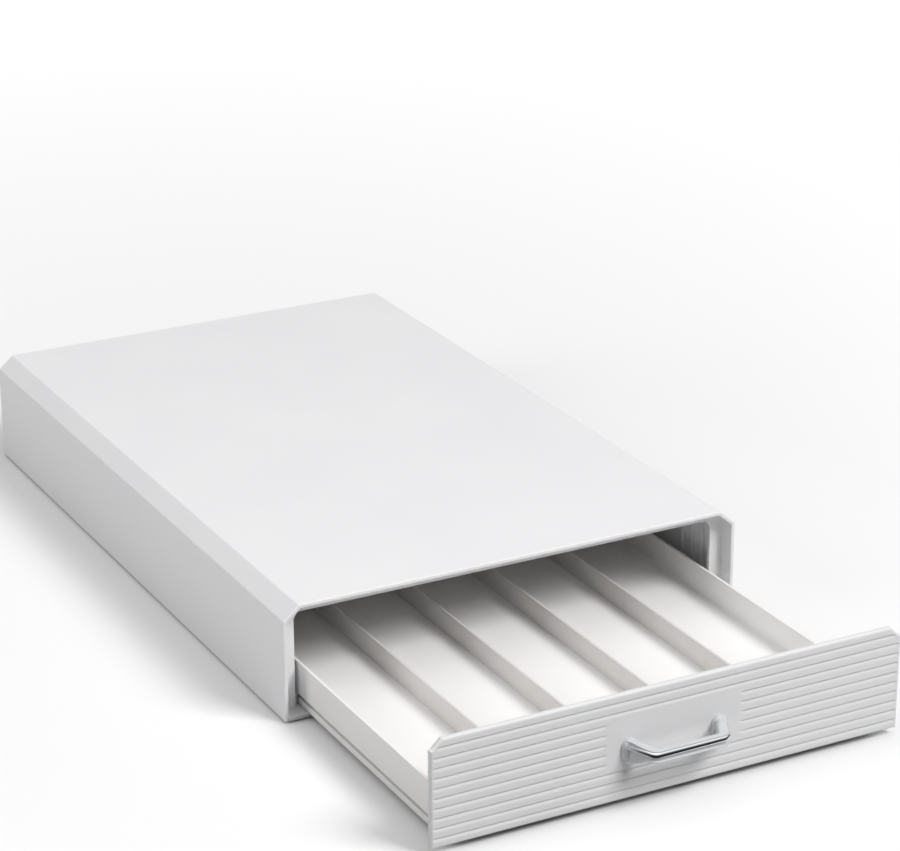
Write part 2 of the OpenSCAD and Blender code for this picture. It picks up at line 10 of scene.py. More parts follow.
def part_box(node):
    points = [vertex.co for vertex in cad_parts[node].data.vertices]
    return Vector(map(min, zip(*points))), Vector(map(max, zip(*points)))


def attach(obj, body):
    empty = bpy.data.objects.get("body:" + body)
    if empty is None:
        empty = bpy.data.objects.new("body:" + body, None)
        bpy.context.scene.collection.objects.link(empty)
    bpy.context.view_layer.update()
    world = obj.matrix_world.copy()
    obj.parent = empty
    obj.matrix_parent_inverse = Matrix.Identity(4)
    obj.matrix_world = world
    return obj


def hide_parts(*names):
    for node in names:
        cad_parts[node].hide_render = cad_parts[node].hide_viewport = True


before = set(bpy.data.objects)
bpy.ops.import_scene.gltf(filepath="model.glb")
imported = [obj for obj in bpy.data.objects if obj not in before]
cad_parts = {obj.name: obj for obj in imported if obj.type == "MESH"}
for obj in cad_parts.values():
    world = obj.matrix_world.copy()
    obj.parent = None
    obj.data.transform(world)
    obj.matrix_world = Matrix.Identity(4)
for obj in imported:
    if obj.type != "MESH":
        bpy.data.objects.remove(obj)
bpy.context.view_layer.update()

# ---------------------------------------------------------------- Camera
# It stands 1.5 m away, to the left of the drawer and above it, with a long lens.
# Its place, its turn and its lens follow the straight edges of the case and the front panel.
mm = 0.001
image_w, image_h = 900, 851
focal_px = 2949.67
axis_px = (398.42, 399.06)
camera_place = (-628.9 * mm, -1229.0 * mm, 629.4 * mm)
turn, rise, roll = radians(-26.878), radians(20.907), radians(-0.56)
sensor_mm = 36
nearest, furthest = 0.05, 50

backward = Vector((sin(turn) * cos(rise), -cos(turn) * cos(rise), sin(rise)))
sideways = Vector((cos(turn), sin(turn), 0))
upward = backward.cross(sideways)
camera_data = bpy.data.cameras.new("camera")
camera_data.sensor_width = sensor_mm
camera_data.lens = focal_px * sensor_mm / image_w
camera_data.shift_x = (image_w / 2 - axis_px[0]) / image_w
camera_data.shift_y = (axis_px[1] - image_h / 2) / image_w
camera_data.clip_start, camera_data.clip_end = nearest, furthest
camera = bpy.data.objects.new("camera", camera_data)
turned_axes = (sideways * cos(roll) + upward * sin(roll), upward * cos(roll) - sideways * sin(roll), backward)
camera.matrix_world = Matrix.Translation(camera_place) @ Matrix(turned_axes).transposed().to_4x4()
bpy.context.collection.objects.link(camera)
bpy.context.scene.camera = camera

# ---------------------------------------------------------------- Floor and light
# A pale matt floor under a white dome that is brightest overhead, with a large softbox in front to
# the right and a weaker one on the left. The background that shows above the floor is white.
floor_half = 30.0
dome_strength, dome_falloff, dome_in_mirrors = 0.98, 2.0, 1.75
backdrop_strength = 0.96
softboxes = {"key_softbox": ((1.28, -2.18, 2.55), 1.43, 92.0),
             "fill_softbox": ((-2.0, 0.2, 0.9), 1.2, 13.0)}
roller_patch = 111 * mm
glow_start, glow_end, glow_strength = 0.3, 1.6, 0.42
mirror_line, mirror_start, mirror_end = (0.47, 1.0, 0.0), -0.273, -0.281


def linear(code):
    """An sRGB hex colour as linear red, green, blue and alpha."""
    shares = [int(code[i:i + 2], 16) / 255 for i in (0, 2, 4)]
    return tuple(s / 12.92 if s <= 0.04045 else ((s + 0.055) / 1.055) ** 2.4 for s in shares) + (1,)


def add_node(owner, kind, feeds, **settings):
    """Adds a shader node. Feeds are its inputs: plain values, or the outputs that they come from.
    A Mix node takes its two colours at inputs 6 and 7, and gives the blend at output 2."""
    node = owner.node_tree.nodes.new("ShaderNode" + kind)
    for name, value in settings.items():
        setattr(node, name, value)
    for name, value in feeds.items():
        if isinstance(value, bpy.types.NodeSocket):
            owner.node_tree.links.new(value, node.inputs[name])
        else:
            node.inputs[name].default_value = value
    return node


def new_material(name):
    """An empty material with nodes."""
    material = bpy.data.materials.new(name)
    material.use_nodes = True
    material.node_tree.nodes.clear()
    return material


def painted_floor():
    """Matt board. The paint roller leaves soft patches that differ a little in how matt they are.
    It looks white to its far edge, but it throws back only half of the light, and mirrors see it
    dark in front of the drawer. So edges that face down keep their shade, and chrome gets its
    dark line."""
    board = new_material("matt_painted_board")
    place = add_node(board, "TexCoord", {}).outputs["Object"]
    rolled = add_node(board, "TexNoise", {"Vector": place, "Scale": 1 / roller_patch, "Detail": 3.0})
    matt = add_node(board, "MapRange", {"Value": rolled.outputs["Fac"], "To Min": 0.78, "To Max": 0.92})
    ray = add_node(board, "LightPath", {}).outputs
    lit = add_node(board, "Mix", {"Factor": ray["Is Diffuse Ray"], 6: linear("f2f2f2"), 7: linear("bcbcbc")},
                   data_type="RGBA").outputs[2]
    away = add_node(board, "VectorMath", {0: place}, operation="LENGTH").outputs["Value"]
    ahead = add_node(board, "VectorMath", {0: place, 1: mirror_line}, operation="DOT_PRODUCT")
    unlit = add_node(board, "MapRange", {"Value": ahead.outputs["Value"], "From Min": mirror_start,
                                         "From Max": mirror_end}).outputs["Result"]
    dark = add_node(board, "Math", {0: unlit, 1: ray["Is Glossy Ray"]}, operation="MULTIPLY").outputs[0]
    tone = add_node(board, "Mix", {"Factor": dark, 6: lit, 7: linear("101010")}, data_type="RGBA").outputs[2]
    far = add_node(board, "MapRange", {"Value": away, "From Min": glow_start, "From Max": glow_end,
                                       "To Min": 0.0, "To Max": glow_strength}).outputs["Result"]
    glow = add_node(board, "Math", {0: far, 1: ray["Is Camera Ray"]}, operation="MULTIPLY").outputs[0]
    paint = add_node(board, "BsdfPrincipled", {
        "Base Color": tone, "Roughness": matt.outputs["Result"], "Specular IOR Level": 0.2,
        "Emission Color": linear("ffffff"), "Emission Strength": glow})
    add_node(board, "OutputMaterial", {"Surface": paint.outputs["BSDF"]})
    return board


floor_mesh = bpy.data.meshes.new("floor")
floor_corners = [(-floor_half, -floor_half, 0), (floor_half, -floor_half, 0),
                 (floor_half, floor_half, 0), (-floor_half, floor_half, 0)]
floor_mesh.from_pydata(floor_corners, [], [(0, 1, 2, 3)])
floor_mesh.materials.append(painted_floor())
floor = bpy.data.objects.new("floor", floor_mesh)
bpy.context.collection.objects.link(floor)

sky = bpy.data.worlds.new("studio")
sky.use_nodes = True
sky.node_tree.nodes.clear()
direction = add_node(sky, "TexCoord", {}).outputs["Generated"]
height = add_node(sky, "SeparateXYZ", {0: direction}).outputs["Z"]
above = add_node(sky, "Math", {0: height, 1: 0.0}, operation="MAXIMUM").outputs[0]
falling = add_node(sky, "Math", {0: above, 1: dome_falloff}, operation="POWER").outputs[0]
sky_ray = add_node(sky, "LightPath", {}).outputs
full = add_node(sky, "MapRange", {"Value": sky_ray["Is Glossy Ray"], "To Min": dome_strength,
                                  "To Max": dome_strength * dome_in_mirrors}).outputs["Result"]
strength = add_node(sky, "Math", {0: falling, 1: full}, operation="MULTIPLY").outputs[0]
dome = add_node(sky, "Background", {"Color": linear("ffffff"), "Strength": strength})
backdrop = add_node(sky, "Background", {"Color": linear("ffffff"), "Strength": backdrop_strength})
both = add_node(sky, "MixShader", {0: sky_ray["Is Camera Ray"], 1: dome.outputs["Background"],
                                   2: backdrop.outputs["Background"]})
add_node(sky, "OutputWorld", {"Surface": both.outputs["Shader"]})
bpy.context.scene.world = sky

for name, (place, side, power) in softboxes.items():
    light = bpy.data.lights.new(name, "AREA")
    light.size = side
    light.energy = power
    softbox = bpy.data.objects.new(name, light)
    softbox.location = place
    softbox.rotation_euler = Vector(place).to_track_quat("Z", "Y").to_euler()
    softbox.visible_glossy = False
    bpy.context.collection.objects.link(softbox)
bpy.context.scene.view_settings.view_transform = "Standard"

# ---------------------------------------------------------------- Case
# One ABS moulding: roof, slanted edges, side walls, a front frame and the ribs inside.
# It came out of its mould downwards, so it is open below, and every outer edge is rounded.
case_low, case_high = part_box("case_shell")
rail_low, rail_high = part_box("rail_right")
back_low, back_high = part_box("back_panel")
wall = 2 * mm
slant_w, slant_h = 8.5 * mm, 7.3 * mm
outer_round, lip_round, rim_soft = 2.0 * mm, 0.7 * mm, 0.55 * mm
recess, frame_thick, frame_drop = 8 * mm, 2 * mm, 5.3 * mm
opening_half, opening_round = 113.8 * mm, 1.6 * mm
flange_thick = 2.1 * mm
rib = 1.5 * mm
rib_soft = 0.25 * mm
rib_root = 0.5 * mm
guide_ribs, guide_reach, guide_pitch, guide_start = 3, 2 * mm, 8.7 * mm, 14.6 * mm
roof_rib, roof_inset = 3.4 * mm, 38 * mm
pilot_round = 1.45 * mm
boss_round, boss_stand = 3.1 * mm, 0.4 * mm
rail_boss, rail_pilot = 6.4 * mm, 7.9 * mm
back_boss, back_pilot = 7 * mm, 6.2 * mm
screw_inset, screw_count = 32 * mm, 3
side_screw_z, top_screw_x = 29 * mm, 54 * mm
clear_cut = 1 * mm
corner_steps, end_steps, bevel_steps, turned_steps, bore_steps = 5, 4, 3, 40, 32
sharp_from, flat_weight = radians(32), 90
abs_ior, plastic_drift = 1.53, 60 * mm


def rounded(corners, steps=corner_steps):
    """A closed outline whose corners are rounded: each corner is (across, up, radius)."""
    outline = []
    for i, (across, up, radius) in enumerate(corners):
        here = Vector((across, up))
        before = (Vector(corners[i - 1][:2]) - here).normalized()
        after = (Vector(corners[(i + 1) % len(corners)][:2]) - here).normalized()
        if radius == 0:
            outline.append(here)
            continue
        half = before.angle(after) / 2
        centre = here + (before + after).normalized() * radius / sin(half)
        start = here + before * radius / tan(half) - centre
        end = here + after * radius / tan(half) - centre
        sweep = start.angle(end)
        for k in range(steps + 1):
            share = sweep * k / steps
            outline.append(centre + (start * sin(sweep - share) + end * sin(share)) / sin(sweep))
    return outline


def moved_in(outline, distance):
    """The closed outline, which runs counter-clockwise, moved inwards and mitred at its corners."""
    moved = []
    for i, here in enumerate(outline):
        behind = (here - outline[i - 1]).normalized()
        ahead = (outline[(i + 1) % len(outline)] - here).normalized()
        mitre = Vector((-behind.y - ahead.y, behind.x + ahead.x))
        moved.append(here + mitre * 2 * distance / mitre.length_squared)
    return moved


def across(side, near, far):
    """Two places counted from the middle, on this side of it, in rising order."""
    return sorted((side * near, side * far))


def object_from(name, shape):
    """The mesh object that a finished bmesh gives."""
    mesh = bpy.data.meshes.new(name)
    shape.to_mesh(mesh)
    shape.free()
    made = bpy.data.objects.new(name, mesh)
    bpy.context.collection.objects.link(made)
    return made


def solid(name, rings):
    """A closed mesh object through rings of points, with each ring joined to the next one. A ring
    of one point is a tip, and any other ring at an end gets a face."""
    shape = bmesh.new()
    loops = [[shape.verts.new(point) for point in ring] for ring in rings]
    for near, far in zip(loops, loops[1:]):
        for i in range(max(len(near), len(far))):
            pair = [near[i - 1], near[i]] if len(near) > 1 else near
            far_pair = [far[i], far[i - 1]] if len(far) > 1 else far
            shape.faces.new(pair + far_pair)
    for loop in (loops[0], loops[-1]):
        if len(loop) > 1:
            shape.faces.new(loop)
    bmesh.ops.recalc_face_normals(shape, faces=shape.faces)
    return object_from(name, shape)


def drawn(name, outline, start, end, soften):
    """An outline, as seen from the front, drawn out from start to end in Y. Soften gives the
    rounding of the edges at the start and at the end."""
    levels = []
    for side, place, radius in ((1, start, soften[0]), (-1, end, soften[1])):
        turns = [pi / 2 * k / end_steps for k in range(end_steps + 1)] if radius else [pi / 2]
        ends = [(radius * (1 - sin(t)), place + side * radius * (1 - cos(t))) for t in turns]
        levels += ends if side == 1 else reversed(ends)
    return solid(name, [[(p.x, along, p.y) for p in moved_in(outline, inset)] for inset, along in levels])


def block(name, low, high, soften):
    """A block between two corners, with rounded edges."""
    shape = bmesh.new()
    bmesh.ops.create_cube(shape, size=1)
    for vertex in shape.verts:
        vertex.co = [l + (h - l) * (c + 0.5) for l, h, c in zip(low, high, vertex.co)]
    bmesh.ops.bevel(shape, geom=shape.edges, offset=soften, segments=bevel_steps, profile=0.5,
                    affect="EDGES")
    return object_from(name, shape)


def upright_to(towards):
    """The turn that points what stands upright towards this way."""
    return Vector((0, 0, 1)).rotation_difference(Vector(towards)).to_matrix()


def spun(name, outline, place, towards, steps=turned_steps):
    """A round piece: an outline of (radius, height) spun round an axis that starts at place."""
    start, stand = Vector(place), upright_to(towards)
    rings = []
    for radius, height in outline:
        turns = [2 * pi * k / steps for k in range(steps if radius else 1)]
        rings.append([start + stand @ Vector((radius * cos(t), radius * sin(t), height)) for t in turns])
    return solid(name, rings)


def rod(name, radius, start, length, towards):
    """A plain round bar, for bosses and for drilling."""
    return spun(name, [(0, 0), (radius, 0), (radius, length), (0, length)], start, towards, bore_steps)


def merged(body, operation, tools):
    """The body with the tools added to it, or cut out of it. The tools are used up."""
    for tool in tools:
        change = body.modifiers.new(operation, "BOOLEAN")
        change.operation = operation
        change.object = tool
        change.solver = "MANIFOLD"
    result = body.evaluated_get(bpy.context.evaluated_depsgraph_get())
    mesh = bpy.data.meshes.new_from_object(result)
    body.modifiers.clear()
    body.data = mesh
    for tool in tools:
        bpy.data.objects.remove(tool)
    return body


def finished(body, material):
    """Gives a piece its material, and shades its rounded edges smooth and its flats flat."""
    body.data.materials.clear()
    body.data.materials.append(material)
    body.data.shade_smooth()
    body.data.set_sharp_from_angle(angle=sharp_from)
    flats = body.modifiers.new("flat_faces", "WEIGHTED_NORMAL")
    flats.keep_sharp = True
    flats.weight = flat_weight
    return body


def surfaced(material, colours, mix, gloss, bumps, depth, own):
    """Completes a material. Mix is the pattern that blends its two colours, gloss holds the feeds
    of the node that sets its roughness, bumps is the pattern that stands up by depth, and own
    holds the shader's other sockets."""
    shade = add_node(material, "Mix", {"Factor": mix, 6: linear(colours[0]), 7: linear(colours[1])},
                     data_type="RGBA").outputs[2]
    rough = add_node(material, "MapRange", gloss).outputs["Result"]
    relief = add_node(material, "Bump", {"Height": bumps, "Distance": depth, "Strength": 1.0})
    surface = add_node(material, "BsdfPrincipled", {"Base Color": shade, "Roughness": rough,
                                                    "Normal": relief.outputs["Normal"], **own})
    add_node(material, "OutputMaterial", {"Surface": surface.outputs["BSDF"]})
    return material


def moulded_plastic(name, colours, ior, roughness, grain, depth):
    """Injection moulded plastic. The mould's spark-eroded surface leaves a fine even grain, which
    spreads the highlight, and slow cooling leaves a faint drift of shade. Real grain is 0.1 mm,
    too fine to show, so it is drawn as 0.4 or 0.5 mm."""
    plastic = new_material(name)
    place = add_node(plastic, "TexCoord", {}).outputs["Object"]
    drift = add_node(plastic, "TexNoise", {"Vector": place, "Scale": 1 / plastic_drift,
                                           "Detail": 2.0}).outputs["Fac"]
    spark = add_node(plastic, "TexNoise", {"Vector": place, "Scale": 1 / grain, "Detail": 3.0}).outputs["Fac"]
    uneven = add_node(plastic, "Math", {0: drift, 1: spark}, operation="ADD").outputs[0]
    gloss = {"Value": uneven, "From Min": 0.6, "From Max": 1.4,
             "To Min": roughness - 0.05, "To Max": roughness + 0.05}
    return surfaced(plastic, colours, drift, gloss, spark, depth, {"IOR": ior})


def hull(inset=0):
    """The case's outside in across and up: upright sides, slanted edges and a flat roof."""
    half, low, high = case_high.x, case_low.z, case_high.z
    corners = [Vector(c) for c in ((-half, low), (half, low), (half, high - slant_h), (half - slant_w, high),
                                   (slant_w - half, high), (-half, high - slant_h))]
    return moved_in(corners, inset)


def arch(outer, inner, foot, outer_radius, inner_radius, foot_radius):
    """An arch of even walls between two hull outlines, standing on its foot."""
    out = [(outer[1].x, foot, foot_radius)] + [(c.x, c.y, outer_radius) for c in outer[2:]]
    out.append((outer[0].x, foot, foot_radius))
    back = [(inner[0].x, foot, foot_radius)] + [(c.x, c.y, inner_radius) for c in reversed(inner[2:])]
    back.append((inner[1].x, foot, foot_radius))
    return rounded(out + back)


rim_y, case_rear = case_low.y, case_high.y
roof_z = case_high.z - wall
flange_top = case_low.z + flange_thick
frame_rear = rim_y + recess + frame_thick
inner_half = case_high.x - wall
boss_x = inner_half - boss_stand - boss_round
rail_screws_y = [rim_y + screw_inset + (back_low.y - rim_y - 2 * screw_inset) * k / (screw_count - 1)
                 for k in range(screw_count)]
side_screw_up, top_screw_up = case_low.z + side_screw_z, roof_z - boss_stand - boss_round
back_screws_xz = [(side * x, z) for side in (-1, 1)
                  for x, z in ((boss_x, side_screw_up), (top_screw_x, top_screw_up))]

shell = drawn("case_moulding", arch(hull(), hull(wall), case_low.z, outer_round, lip_round, lip_round),
              rim_y, case_rear, (rim_soft, rim_soft))
opening = [Vector((c.x, c.y)) for c in hull(wall + frame_drop)]
for corner in opening:
    corner.x = max(-opening_half, min(opening_half, corner.x))
front_frame = arch(hull(wall / 2), opening, flange_top, lip_round, opening_round, lip_round / 2)
additions = [drawn("front_frame", front_frame, rim_y + recess, frame_rear, (rib_soft, rib_soft))]
for x in (-case_high.x + roof_inset, 0, case_high.x - roof_inset):
    additions.append(block("roof_rib", (x - rib / 2, frame_rear - rib_root, roof_z - roof_rib),
                           (x + rib / 2, back_low.y, roof_z + rib_root), rib_soft))
cross_start, cross_end = frame_rear + roof_inset, back_low.y - roof_inset
cross_half = case_high.x - slant_w - wall
for y in (cross_start, (cross_start + cross_end) / 2, cross_end):
    additions.append(block("roof_rib", (-cross_half, y - rib / 2, roof_z - roof_rib),
                           (cross_half, y + rib / 2, roof_z + rib_root), rib_soft))
for side in (-1, 1):
    x0, x1 = across(side, inner_half - guide_reach, inner_half + rib_root)
    for k in range(guide_ribs):
        inset = guide_start + k * guide_pitch
        for y in (frame_rear + inset, back_low.y - inset):
            additions.append(block("guide_rib", (x0, y - rib / 2, flange_top + rib_root),
                                   (x1, y + rib / 2, case_high.z - slant_h - wall), rib_soft))
    x0, x1 = across(side, boss_x, inner_half + rib_root)
    for y in rail_screws_y:
        additions.append(rod("rail_boss", boss_round, (side * boss_x, y, flange_top), rail_boss, (0, 0, 1)))
        additions.append(block("boss_web", (x0, y - rib / 2, flange_top),
                               (x1, y + rib / 2, flange_top + rail_boss), rib_soft))
    additions.append(block("boss_web", (x0, back_low.y - back_boss, side_screw_up - rib / 2),
                           (x1, back_low.y, side_screw_up + rib / 2), rib_soft))
    additions.append(block("boss_web", (side * top_screw_x - rib / 2, back_low.y - back_boss, top_screw_up),
                           (side * top_screw_x + rib / 2, back_low.y, roof_z + rib_root), rib_soft))
for x, z in back_screws_xz:
    additions.append(rod("back_boss", boss_round, (x, back_low.y - back_boss, z), back_boss, (0, 1, 0)))
merged(shell, "UNION", additions)
drills = [rod("drill", pilot_round, (x, back_low.y + clear_cut, z), back_pilot + clear_cut, (0, -1, 0))
          for x, z in back_screws_xz]
drills += [rod("drill", pilot_round, (side * boss_x, y, case_low.z), rail_pilot, (0, 0, 1))
           for side in (-1, 1) for y in rail_screws_y]
merged(shell, "DIFFERENCE", drills)
finished(shell, moulded_plastic("moulded_abs_cool_white", ("e9e9eb", "ededee"), abs_ior,
                                roughness=0.42, grain=0.5 * mm, depth=0.012 * mm))
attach(shell, "case")
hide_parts("case_shell")

# ---------------------------------------------------------------- Back plate
# A flat ABS plate let in flush between the side walls, held by four zinc-plated pan screws
# that sit in round wells.
well_round, well_deep, pass_round = 3.0 * mm, 1.4 * mm, 1.7 * mm
plate_soft = 0.35 * mm
head_round, head_high, thread_round = 2.7 * mm, 1.4 * mm, 1.4 * mm
tip_soft, seat_soft, crown_soft = 0.3 * mm, 0.2 * mm, 0.8 * mm
slot_long, slot_wide, slot_deep, slot_taper = 3.0 * mm, 0.62 * mm, 0.85 * mm, 0.55
back_bite = 6 * mm


def cross_slot(place, towards):
    """The cutter for a cross-shaped drive recess, narrower at its bottom."""
    start, stand = Vector(place), upright_to(towards)
    square = ((-1, -1), (1, -1), (1, 1), (-1, 1))
    cutters = []
    for x, y in ((slot_wide / 2, slot_long / 2), (slot_long / 2, slot_wide / 2)):
        rings = []
        for share, level in ((slot_taper, -slot_deep), (1, clear_cut)):
            corners = [Vector((a * x * share, b * y * share, level)) for a, b in square]
            rings.append([start + stand @ corner for corner in corners])
        cutters.append(solid("cross_slot", rings))
    return cutters


def pan_screw(name, place, towards, reach):
    """A pan-head screw: its head stands on place, and its thread runs the other way."""
    profile = rounded([(0, -reach, 0), (thread_round, -reach, tip_soft), (thread_round, 0, 0),
                       (head_round, 0, seat_soft), (head_round, head_high, crown_soft), (0, head_high, 0)])
    screw = spun(name, profile, place, towards)
    return merged(screw, "DIFFERENCE", cross_slot(Vector(place) + Vector(towards) * head_high, towards))


def one_piece(name, parts):
    """Several separate solids kept as one object."""
    together = bmesh.new()
    for part in parts:
        together.from_mesh(part.data)
        bpy.data.objects.remove(part)
    return object_from(name, together)


def zinc_plate():
    """Zinc-plated steel: a thin bright blue-grey plating with soft clouds, and fine marks
    round the drive recess. It reflects broadly, between satin and bright."""
    zinc = new_material("zinc_plated_steel")
    place = add_node(zinc, "TexCoord", {}).outputs["Object"]
    cloud = add_node(zinc, "TexNoise", {"Vector": place, "Scale": 1 / (3 * mm), "Detail": 3.0}).outputs["Fac"]
    marks = add_node(zinc, "TexNoise", {"Vector": place, "Scale": 1 / (0.3 * mm),
                                        "Detail": 2.0}).outputs["Fac"]
    gloss = {"Value": cloud, "To Min": 0.24, "To Max": 0.4}
    return surfaced(zinc, ("c3c7ca", "aeb1b8"), cloud, gloss, marks, 0.006 * mm, {"Metallic": 1.0})


plate_corners = hull(wall)
plate_corners[0].y = plate_corners[1].y = case_low.z
plate_edge = rounded([(c.x, c.y, plate_soft if c.y == case_low.z else lip_round) for c in plate_corners])
plate = drawn("back_plate", plate_edge, back_low.y, back_high.y, (0, plate_soft))
holes = []
for x, z in back_screws_xz:
    holes.append(rod("pass", pass_round, (x, back_low.y - clear_cut, z), 2 * wall + clear_cut, (0, 1, 0)))
    holes.append(rod("well", well_round, (x, back_high.y - well_deep, z), well_deep + clear_cut, (0, 1, 0)))
merged(plate, "DIFFERENCE", holes)
finished(plate, moulded_plastic("moulded_abs_back_white", ("e2e2e4", "e6e6e7"), abs_ior,
                                roughness=0.46, grain=0.5 * mm, depth=0.014 * mm))
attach(plate, "case")
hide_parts("back_panel")

zinc = zinc_plate()
head_seat = back_high.y - head_high
back_reach = back_bite + head_seat - back_low.y
back_set = one_piece("back_pan_screws", [pan_screw("screw", (x, head_seat, z), (0, 1, 0), back_reach)
                                         for x, z in back_screws_xz])
finished(back_set, zinc)
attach(back_set, "case")
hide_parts("back_screws")

# ---------------------------------------------------------------- Base rails
# A left and a right rail, moulded in smoother ABS than the case, so that the tray slides on it.
# Each has a flange under the case wall and a hooked rib that holds the runner down. Three
# countersunk screws hold it from below.
rail_end_gap = 1 * mm
guide_x, guide_thick = 111.6 * mm, 1.2 * mm
hook_high = 1.4 * mm
rail_soft, hook_soft, sink_rim = 0.3 * mm, 0.24 * mm, 0.05 * mm
foot_round, foot_seat, foot_inset = 4.5 * mm, 0.8 * mm, 15 * mm
sunk_round = 3.0 * mm
feet_y = (rim_y + foot_inset, case_rear - foot_inset)
feet_x = (rail_low.x + rail_high.x) / 2
rail_satin = moulded_plastic("moulded_abs_rail", ("dcdcdd", "e1e1e1"), abs_ior,
                             roughness=0.38, grain=0.4 * mm, depth=0.008 * mm)


def base_rail(name, side):
    """One rail: flange, rib and hook, with its screw holes and the round seats of its feet."""
    low_x, high_x = across(side, rail_low.x, rail_high.x)
    rail = block(name, (low_x, rail_low.y, rail_low.z), (high_x, rail_high.y, flange_top), rail_soft)
    rib_foot, rib_side, hook_low = rail_low.z + wall / 2, guide_x + guide_thick, rail_high.z - hook_high
    profile = [(guide_x, rib_foot, 0), (rib_side, rib_foot, 0), (rib_side, rail_high.z, rail_soft),
               (rail_low.x, rail_high.z, rail_soft), (rail_low.x, hook_low, rail_soft),
               (guide_x, hook_low, rail_soft)]
    if side < 0:
        profile = [(-x, z, r) for x, z, r in reversed(profile)]
    hook = drawn("hook", rounded(profile), frame_rear + rail_end_gap, back_low.y - rail_end_gap,
                 (hook_soft, hook_soft))
    merged(rail, "UNION", [hook])
    holes = []
    sink = [(0, -clear_cut), (sunk_round + clear_cut, -clear_cut), (pass_round, head_high), (0, head_high)]
    under = rail_low.z - clear_cut
    for y in rail_screws_y:
        holes.append(rod("pass", pass_round, (side * boss_x, y, under), 3 * wall, (0, 0, 1)))
        holes.append(spun("sink", sink, (side * boss_x, y, rail_low.z), (0, 0, 1)))
    for y in feet_y:
        holes.append(rod("seat", foot_round, (side * feet_x, y, under), foot_seat + clear_cut, (0, 0, 1)))
    return merged(rail, "DIFFERENCE", holes)


for node, side in (("rail_left", -1), ("rail_right", 1)):
    rail = finished(base_rail(node.replace("rail", "base_rail"), side), rail_satin)
    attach(rail, "case")
    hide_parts(node)

rail_bite = 7.7 * mm
sunk_profile = rounded([(0, -rail_bite, 0), (thread_round, -rail_bite, tip_soft),
                        (thread_round, -head_high, 0), (head_round, 0, sink_rim), (0, 0, 0)])
sunk_screws = []
for side in (-1, 1):
    for y in rail_screws_y:
        place = Vector((side * boss_x, y, rail_low.z))
        screw = spun("screw", sunk_profile, place, (0, 0, -1))
        sunk_screws.append(merged(screw, "DIFFERENCE", cross_slot(place, (0, 0, -1))))
sunk_set = finished(one_piece("rail_countersunk_screws", sunk_screws), zinc)
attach(sunk_set, "case")
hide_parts("rail_screws")

# ---------------------------------------------------------------- Feet
# Four soft rubber discs, stuck into the seats of the rails. Three fine ring grooves in the
# sole give grip and let the air out.
sole_edge, sole_soft, sole_turn = 0.4 * mm, 0.1 * mm, 0.2 * mm
ring_grooves, ring_deep, ring_wide = 3, 0.25 * mm, 0.5 * mm


def soft_rubber():
    """Matte nitrile rubber: dark, nearly without gloss, with a dry powdery bloom on it."""
    rubber = new_material("soft_nitrile_rubber")
    place = add_node(rubber, "TexCoord", {}).outputs["Object"]
    bloom = add_node(rubber, "TexNoise", {"Vector": place, "Scale": 1 / (1.5 * mm),
                                          "Detail": 4.0}).outputs["Fac"]
    gloss = {"Value": bloom, "To Min": 0.72, "To Max": 0.9}
    return surfaced(rubber, ("2b2b2d", "3c3c3d"), bloom, gloss, bloom, 0.02 * mm, {"IOR": 1.52})


foot_high = rail_low.z + foot_seat
sole = [(0, 0, 0)]
for k in range(ring_grooves):
    radius = (foot_round - 2 * sole_edge) * (k + 1) / (ring_grooves + 0.5)
    sole += [(radius - ring_wide / 2, 0, 0), (radius, ring_deep, sole_soft), (radius + ring_wide / 2, 0, 0)]
sole += [(foot_round - sole_edge, 0, sole_soft), (foot_round, sole_edge, sole_turn),
         (foot_round, foot_high, sole_soft), (0, foot_high, 0)]
rubber = soft_rubber()
for node, x, y in (("foot_front_left", -feet_x, feet_y[0]), ("foot_front_right", feet_x, feet_y[0]),
                   ("foot_rear_left", -feet_x, feet_y[1]), ("foot_rear_right", feet_x, feet_y[1])):
    foot = spun(node.replace("foot", "rubber_foot"), rounded(sole), (x, y, 0), (0, 0, 1))
    finished(foot, rubber)
    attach(foot, "case")
    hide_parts(node)

# ---------------------------------------------------------------- Tray
# One long moulding in white polypropylene: the floor with its lanes, low side walls, a rear wall,
# a taller front wall behind the panel, and a runner lip under each side.
tray_low, tray_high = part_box("tray")
tray_half = tray_high.x
skin = 1.6 * mm
runner_x0, runner_x1, runner_high = 105.5 * mm, 111.2 * mm, 3.1 * mm
side_low, side_top = 9.3 * mm, 26.2 * mm
floor_low, floor_top = 10.0 * mm, 11.8 * mm
edge_round, corner_fillet, inner_fillet, step_fillet = 0.5 * mm, 1.1 * mm, 0.4 * mm, 0.2 * mm
polypropylene_ior = 1.49
lane_guide, guide_gap = 3 * mm, 0.1 * mm
divider_thick = 1.6 * mm
divider_low, divider_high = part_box("divider_1")
dividers_x = [(lo.x + hi.x) / 2 for lo, hi in (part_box(f"divider_{n}") for n in (1, 2, 3, 4))]
stop_low, stop_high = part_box("stop_right")
stop_middle_z = (stop_low.z + stop_high.z) / 2
peg_round, peg_gap, peg_ends = 1.5 * mm, 0.05 * mm, (4 * mm, 11 * mm)
panel_screw_x, panel_screw_z = 98 * mm, (17.8 * mm, 41.2 * mm)
handle_screw_x, handle_screw_z = 20.8 * mm, 26.8 * mm
panel_boss, boss_gap = 3.5 * mm, 0.3 * mm

